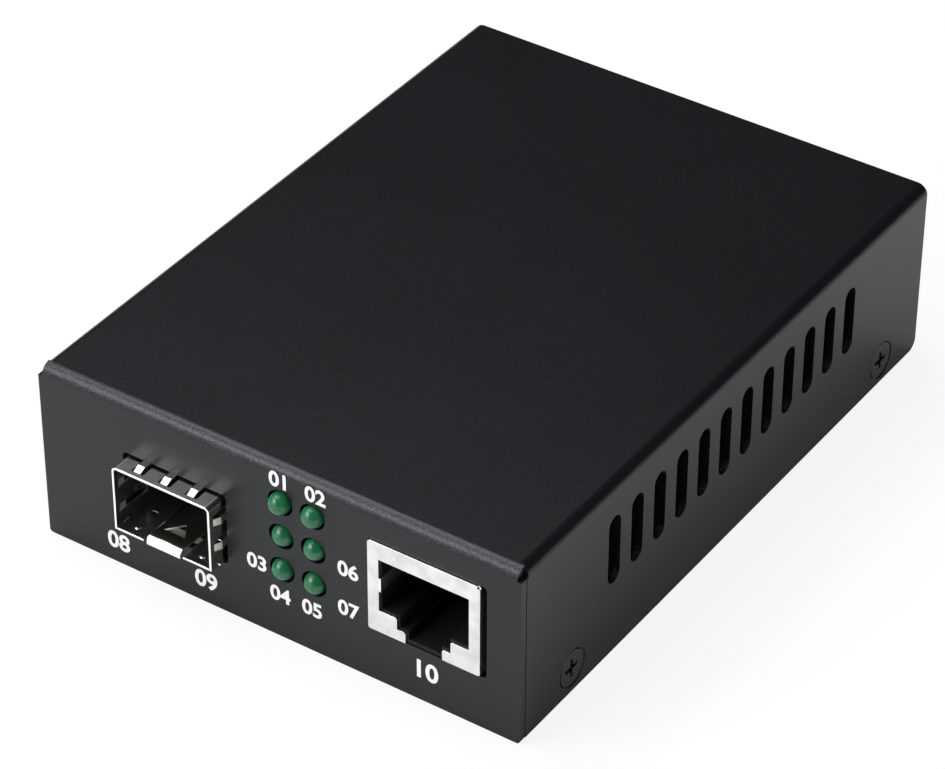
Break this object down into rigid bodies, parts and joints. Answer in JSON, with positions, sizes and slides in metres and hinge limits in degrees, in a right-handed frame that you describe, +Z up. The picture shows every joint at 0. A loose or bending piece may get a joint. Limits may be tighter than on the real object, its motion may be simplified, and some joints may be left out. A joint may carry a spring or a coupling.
{
  "type": "fibre media converter",
  "caption": "Small black sheet-metal media converter: optical module cage, green status lamps and a shielded copper network socket in front, vented sides, power socket behind.",
  "frame": {"origin": "middle of the case's underside", "axes": "+X to the right seen from the front, +Y from the front panel to the rear panel, +Z up"},
  "size_m": [0.07, 0.097, 0.0258],
  "materials": {
    "powder_coat": "black powder coat with a fine orange-peel texture",
    "screw_black": "black oxide",
    "zinc": "bright zinc plating",
    "laminate": "green solder mask over laminate",
    "nickel_sheet": "nickel-plated copper alloy sheet",
    "tinned_shield": "satin tin plating",
    "black_moulding": "glass-filled moulding",
    "chip_package": "moulded package",
    "gold_contact": "gold flash",
    "tinned_lead": "tinned",
    "green_lens": "diffused green resin",
    "can_aluminium": "drawn can",
    "ferrite": "ferrite",
    "ceramic": "fired ceramic"
  },
  "bodies": {
    "root": {"top_cover": "powder_coat", "base_tray": "powder_coat", "cover_screws": "screw_black", "circuit_board": "laminate", "board_standoffs": "zinc", "board_screws": "zinc", "sfp_cage_shell": "nickel_sheet", "sfp_cage_floor": "nickel_sheet", "sfp_connector": "black_moulding", "sfp_contacts": "gold_contact", "rj45_shield": "tinned_shield", "rj45_housing": "black_moulding", "rj45_insert": "black_moulding", "rj45_contacts": "gold_contact", "led_left_low": "green_lens", "led_left_middle": "green_lens", "led_left_high": "green_lens", "led_right_low": "green_lens", "led_right_middle": "green_lens", "led_right_high": "green_lens", "led_holder_left": "black_moulding", "led_holder_right": "black_moulding", "led_leads": "tinned_lead", "dc_jack_housing": "black_moulding", "dc_jack_pin": "tinned_lead", "dc_jack_spring": "tinned_lead", "dc_jack_terminal": "tinned_lead", "converter_chip": "chip_package", "memory_chip": "chip_package", "voltage_regulator": "chip_package", "lan_transformer": "chip_package", "transformer_pins": "tinned_lead", "crystal_can": "tinned_lead", "power_inductor": "ferrite", "filter_capacitor_left": "can_aluminium", "filter_capacitor_right": "can_aluminium", "chip_resistors": "chip_package", "chip_capacitors": "ceramic"}
  },
  "joints": []
}
